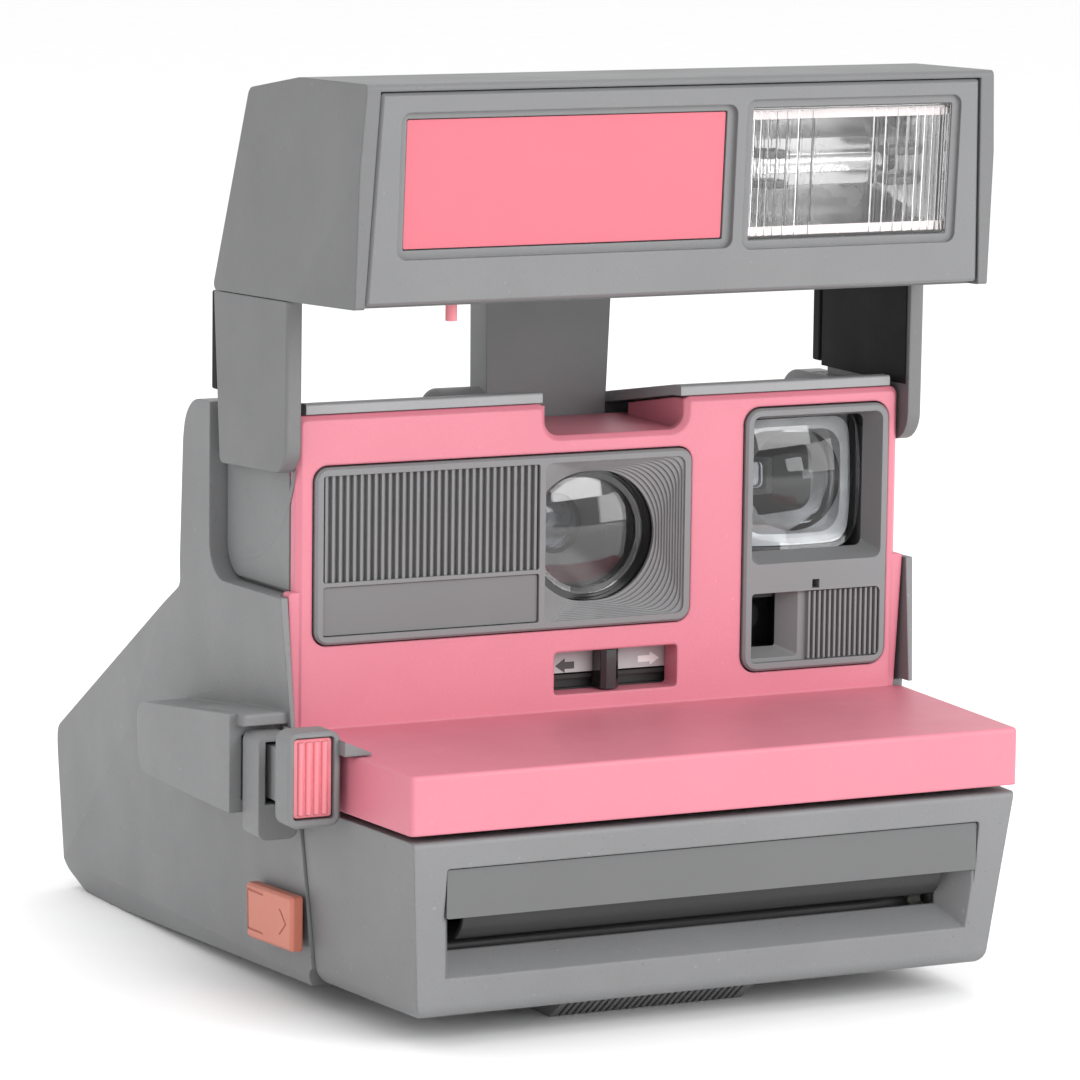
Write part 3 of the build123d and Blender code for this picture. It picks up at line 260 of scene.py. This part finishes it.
def make_materials():
    made = {
        # near-black: painted shade for the shadow inside the flash arms
        "painted_shade_liner": paint("painted_shade_liner_black", (0.009, 0.0092, 0.0095), 0.62, 0.0004, 0.25, 0.06, 0.1, 0.0002,
                       specular=0.15),
        "ink": paint("scale_ink", (0.055, 0.055, 0.056), 0.5, 0.0003, 0.05, 0.05),
        "print_white": paint("scale_white", (0.78, 0.78, 0.77), 0.5, 0.0003, 0.05, 0.03),
        "scale": paint("scale_satin", (0.42, 0.43, 0.435), 0.4, 0.0003, 0.08, 0.03),
        "finder_rim": paint("finder_rim_gloss", (0.30, 0.305, 0.31), 0.16, 0.0016, 0.5, 0.35, coat=0.6),
        # pale pinkish strips inside the flash window: painted highlight
        "lip_painted_highlight": paint("window_lip_painted_highlight", (0.56, 0.50, 0.50), 0.3, 0.0004, 0.05, 0.04),
        "reflector": metal("reflector_metal", (0.42, 0.42, 0.42), 0.22, (1, 1, 1), 0.01, 0.05),
        # near-black rollers: painted shade for the deep shadow line in the film exit slot
        "roller": paint("roller_painted_shade_black", (0.03, 0.03, 0.031), 0.35, 0.0004, 0.1, 0.05),
        "housing": paint("housing_grain", scale_colour(GREY, 0.95), 0.52, 0.00045, 0.42, 0.03, 0.35,
                         0.0004, specks=0.5),
        "door": paint("door_grain", scale_colour(GREY, 0.98), 0.52, 0.00045, 0.42, 0.03, 0.35, 0.0005,
                      specks=0.4),
        "flash": paint("flash_grain", scale_colour(GREY, 0.74), 0.5, 0.0004, 0.36, 0.025, 0.3, 0.0005,
                       specks=0.25),
        "panel": paint("panel_grain", scale_colour(GREY, 0.88), 0.46, 0.0004, 0.3, 0.025, 0.25, 0.0003,
                       specks=0.2),
        "cover": paint("cover_grain", scale_colour(GREY, 1.45), 0.5, 0.0004, 0.35, 0.03, 0.2, 0.0003),
        "bezel": paint("bezel_satin", scale_colour(GREY, 0.95), 0.44, 0.0003, 0.18, 0.02, 0.2, 0.00015),
        "pink": paint("pink_satin", PINK, 0.44, 0.00035, 0.22, 0.02, 0.15, 0.0006, specks=0.12),
        "label": paint("pink_foil", (0.57, 0.125, 0.165), 0.36, 0.0003, 0.08, 0.015),
        "coral": paint("coral_satin", (0.74, 0.225, 0.26), 0.42, 0.0003, 0.15, 0.02, 0.2, 0.0002),
        "orange": paint("orange_satin", (0.55, 0.17, 0.112), 0.42, 0.0003, 0.15, 0.04, 0.25, 0.0004),
        "post": paint("post_satin", (0.172, 0.176, 0.18), 0.45, 0.0004, 0.3, 0.04, 0.15, 0.0003),
        "dark": paint("dark_satin", (0.027, 0.027, 0.028), 0.42, 0.0004, 0.3, 0.04, 0.15, 0.0003),
        "black": paint("black_matt", (0.010, 0.010, 0.010), 0.5, 0.0003, 0.2, 0.05),
        "gloss_black": paint("black_gloss", (0.012, 0.012, 0.013), 0.16, 0.0005, 0.03, 0.05, coat=0.4),
        "plate": paint("satin_plate", (0.15, 0.152, 0.154), 0.36, 0.0003, 0.12, 0.02, brushed=(0.15, 1,
                       4)),
        # darker copy of the satin plate: painted shade that tones down the key lamp's reflection on the
        # door's trim plate
        "door_plate_painted_shade": paint("door_satin_painted_shade", (0.118, 0.12, 0.122), 0.36, 0.0003, 0.12, 0.02,
                            brushed=(0.15, 1, 4)),
        "rubber": paint("foot_rubber", (0.17, 0.17, 0.172), 0.62, 0.0003, 0.4, 0.1),
        "board": paint("board_green", (0.03, 0.12, 0.05), 0.4, 0.0005, 0.2, 0.1),
        "white": paint("white_nylon", (0.72, 0.71, 0.67), 0.45, 0.0004, 0.15, 0.03),
        "steel": metal("ground_steel", (0.56, 0.56, 0.57), 0.3),
        "mirror": metal("front_silver", (0.9, 0.9, 0.9), 0.08, (1, 1, 1), 0.02, 0.02),
        "clear": glass("clear_acrylic", (1, 1, 1), 0.01, 1.49),
        "finder": glass("finder_acrylic", (0.96, 0.97, 0.98), 0.01, 1.49, 0.05),
        # dark smoked tint: painted shade for the dark inside of the viewfinder seen through the eyepiece
        "eye": glass("eye_glass_painted_shade", (0.30, 0.31, 0.33), 0.01, 1.49),
        "coated": glass("coated_lens", (0.34, 0.36, 0.40), 0.01, 1.52),
    }
    return made


# --- Added detail -----------------------------------------------------------------
def piece(name, form, material, bevel=0.0):
    """Finish a bmesh as an object; attach() then makes it ride with the body of a node."""
    mesh = bpy.data.meshes.new(name)
    bmesh.ops.recalc_face_normals(form, faces=form.faces)
    form.to_mesh(mesh)
    form.free()
    mesh.materials.append(material)
    thing = bpy.data.objects.new(name, mesh)
    bpy.context.scene.collection.objects.link(thing)
    if bevel:
        modifier = thing.modifiers.new("edges", "BEVEL")
        modifier.width = bevel
        modifier.segments = 2
        modifier.limit_method = "ANGLE"
    return thing


def add_prism(form, corners, axis, low, high):
    """Extrude a polygon along an axis; corners are (u, v) pairs in millimetres."""
    order = {"x": lambda u, v, w: at(w, u, v), "y": lambda u, v, w: at(u, w, v)}[axis]
    ends = [[form.verts.new(order(u, v, w)) for u, v in corners] for w in (low, high)]
    count = len(corners)
    form.faces.new(ends[0])
    form.faces.new(reversed(ends[1]))
    for i in range(count):
        j = (i + 1) % count
        form.faces.new((ends[0][i], ends[1][i], ends[1][j], ends[0][j]))


def rounded_loop(x0, x1, z0, z1, radius, steps=6):
    """Corners of a rounded rectangle, anticlockwise from its lower right."""
    points = []
    for cx, cz, start in ((x1 - radius, z0 + radius, -90), (x1 - radius, z1 - radius, 0),
                          (x0 + radius, z1 - radius, 90), (x0 + radius, z0 + radius, 180)):
        for step in range(steps + 1):
            turn = math.radians(start + 90 * step / steps)
            points.append((cx + radius * math.cos(turn), cz + radius * math.sin(turn)))
    return points


def add_frame(form, rings):
    """Skin between loops of equal length, each given as (points, y)."""
    rows = [[form.verts.new(at(u, y, v)) for u, v in points] for points, y in rings]
    count = len(rows[0])
    for a, b in zip(rows, rows[1:]):
        for i in range(count):
            j = (i + 1) % count
            form.faces.new((a[i], a[j], b[j], b[i]))


# Piece sizes below are in millimetres of the working frame.
def arm_painted_shade_liners(made):
    """Near-black sheets on the inside of both arms, with a lip at the back: painted shade standing for the
    shadow inside the arms.
    """
    for side, name in ((1, "right"), (-1, "left")):
        form = bmesh.new()
        inner, outer = sorted((side * 57.12, side * 57.32))
        add_prism(form, [(41.6, 98.9), (70.8, 98.9), (70.8, 116.3), (41.6, 116.3)], "x", inner, outer)
        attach(piece("arm_painted_shade_liner_" + name, form, made["painted_shade_liner"], bevel=0.00008), "flash_unit")
        form = bmesh.new()
        inner, outer = sorted((side * 56.9, side * 58.9))
        add_prism(form, [(71.2, 99.6), (73.8, 99.6), (73.8, 116.3), (71.2, 116.3)], "x", inner, outer)
        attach(piece("arm_painted_shade_lip_" + name, form, made["painted_shade_liner"], bevel=0.0004), "flash_unit")


def scale_arrows(made):
    """Lighten and darken arrows printed on the exposure scale."""
    for name, tip, tail, low, high, look in (("darken", -6.5, -2.9, 51.6, 54.1, "ink"),
                                              ("lighten", 13.4, 9.3, 51.9, 54.2, "print_white")):
        form = bmesh.new()
        middle, way = (low + high) / 2, 1 if tip > tail else -1
        neck = tip - way * 1.8
        thin = (high - low) * 0.24
        points = [(tip, middle), (neck, high), (neck, middle + thin), (tail, middle + thin),
                  (tail, middle - thin), (neck, middle - thin), (neck, low)]
        add_prism(form, points, "y", 47.84, 47.9)
        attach(piece("arrow_" + name, form, made[look]), "camera_body")


def finder_rim(made):
    """Pale moulded funnel behind the finder's front lens."""
    form = bmesh.new()
    add_frame(form, [(rounded_loop(29.8, 51.4, 71.0, 92.2, 3), 52.1),
                     (rounded_loop(31.8, 49.4, 73.0, 90.2, 3.5), 52.15),
                     (rounded_loop(33.2, 48.0, 74.5, 88.6, 3.2), 56.6),
                     (rounded_loop(32.8, 48.4, 74.1, 89.0, 3.2), 56.9)])
    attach(piece("finder_rim", form, made["finder_rim"]), "camera_body")


def on_flash(across, height, depth):
    """A point of the flash unit's leaning front face, in metres; depth runs into the unit."""
    foot_y, foot_z = FLASH_FOOT
    sine, cosine = math.sin(FLASH_LEAN), math.cos(FLASH_LEAN)
    return at(across, foot_y - height * sine + depth * cosine, foot_z + height * cosine + depth * sine)


def flash_slab(form, x0, x1, h0, h1, d0, d1):
    """A block lined up with the flash unit's front face."""
    near, far = ([form.verts.new(on_flash(x, h, d)) for x, h in ((x0, h0), (x1, h0), (x1, h1), (x0, h1))]
                 for d in (d0, d1))
    form.faces.new(near)
    form.faces.new(reversed(far))
    for i in range(4):
        j = (i + 1) % 4
        form.faces.new((near[i], far[i], far[j], near[j]))


def flash_inside(made):
    """Pale pinkish strips along the window's top and bottom, a painted highlight for the bright streaks
    there, and the dark jaws that hold the flash tube.
    """
    form = bmesh.new()
    # thin pale strips behind the window: painted highlight
    for low, high in ((28.6, 30.2), (9.3, 10.8)):
        flash_slab(form, 13.2, 49.7, low, high, 2.66, 2.9)
    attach(piece("window_lip_painted_highlights", form, made["lip_painted_highlight"], bevel=0.00005), "flash_unit")
    form = bmesh.new()
    for x0, x1 in ((16.5, 21.5), (40.6, 46.0)):
        for low, high in ((16.6, 18.0), (21.6, 23.0)):
            flash_slab(form, x0, x1, low, high, 5.0, 8.5)
    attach(piece("tube_jaws", form, made["dark"], bevel=0.0003), "flash_unit")


def pocket_ridge(made):
    """Low curved ridge on the floor of the left arm pocket, where the arm's foot slides."""
    form = bmesh.new()
    rows = []
    steps = 28
    for step in range(steps + 1):
        turn = math.radians(191 + 75 * step / steps)
        reach = 24.8 - 2.6 * step / steps
        row = []
        for offset, lift in ((-0.6, 0.01), (-0.3, 0.08), (0.3, 0.08), (0.6, 0.01)):
            row.append(form.verts.new(at(-57.0 - lift, 68 + (reach + offset) * math.cos(turn),
                                         94.4 + (reach + offset) * math.sin(turn))))
        rows.append(row)
    for a, b in zip(rows, rows[1:]):
        for i in range(3):
            form.faces.new((a[i], a[i + 1], b[i + 1], b[i]))
    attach(piece("pocket_ridge", form, made["housing"]), "camera_body")


LOOK = {
    "housing": ("rear_housing", "button_bracket", "eyepiece"),
    "door": ("film_door",),
    "flash": ("flash_rear_shell", "left_arm", "right_arm"),
    "panel": ("flash_front_panel",),
    "cover": ("top_cover", "override_button"),
    "bezel": ("lens_bezel", "finder_bezel"),
    "pink": ("front_fascia",),
    "label": ("flash_label",),
    "coral": ("shutter_button", "interlock_pin"),
    "orange": ("door_latch",),
    "post": ("centre_post",),
    "dark": ("exit_flap",),
    "black": ("shutter_housing", "meter_cell", "finder_tube", "film_chamber", "gear_plate",
              "axle_bracket", "flash_capacitor", "slider_rail"),
    "gloss_black": ("lens_cone", "exposure_slider"),
    "plate": ("lens_trim_plate",),
    "door_plate_painted_shade": ("door_trim_plate",),
    "rubber": ("door_foot",),
    "board": ("circuit_board", "flash_board"),
    "white": ("upper_roller_gear", "lower_roller_gear", "motor_pinion", "drive_wheel"),
    "steel": ("shutter_blade_left", "shutter_blade_right", "blade_magnet", "door_hinge_pin", "latch_spring",
              "button_spring", "hinge_axle", "battery_contacts", "motor",
              "roller_frame", "pick_arm"),
    "reflector": ("flash_reflector",),
    "roller": ("upper_roller", "lower_roller"),
    "scale": ("scale_plate",),
    "mirror": ("mirror_plate",),
    "eye": ("eye_lens",),
    "clear": ("flash_window", "flash_tube", "cover_lens"),
    "finder": ("finder_front_lens",),
    "coated": ("taking_lens",),
}


def finish_nodes(made):
    for look, names in LOOK.items():
        for name in names:
            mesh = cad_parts[name].data
            mesh.materials.clear()
            mesh.materials.append(made[look])


make_camera()
make_studio()
materials = make_materials()
finish_nodes(materials)
arm_painted_shade_liners(materials)
scale_arrows(materials)
finder_rim(materials)
flash_inside(materials)
pocket_ridge(materials)
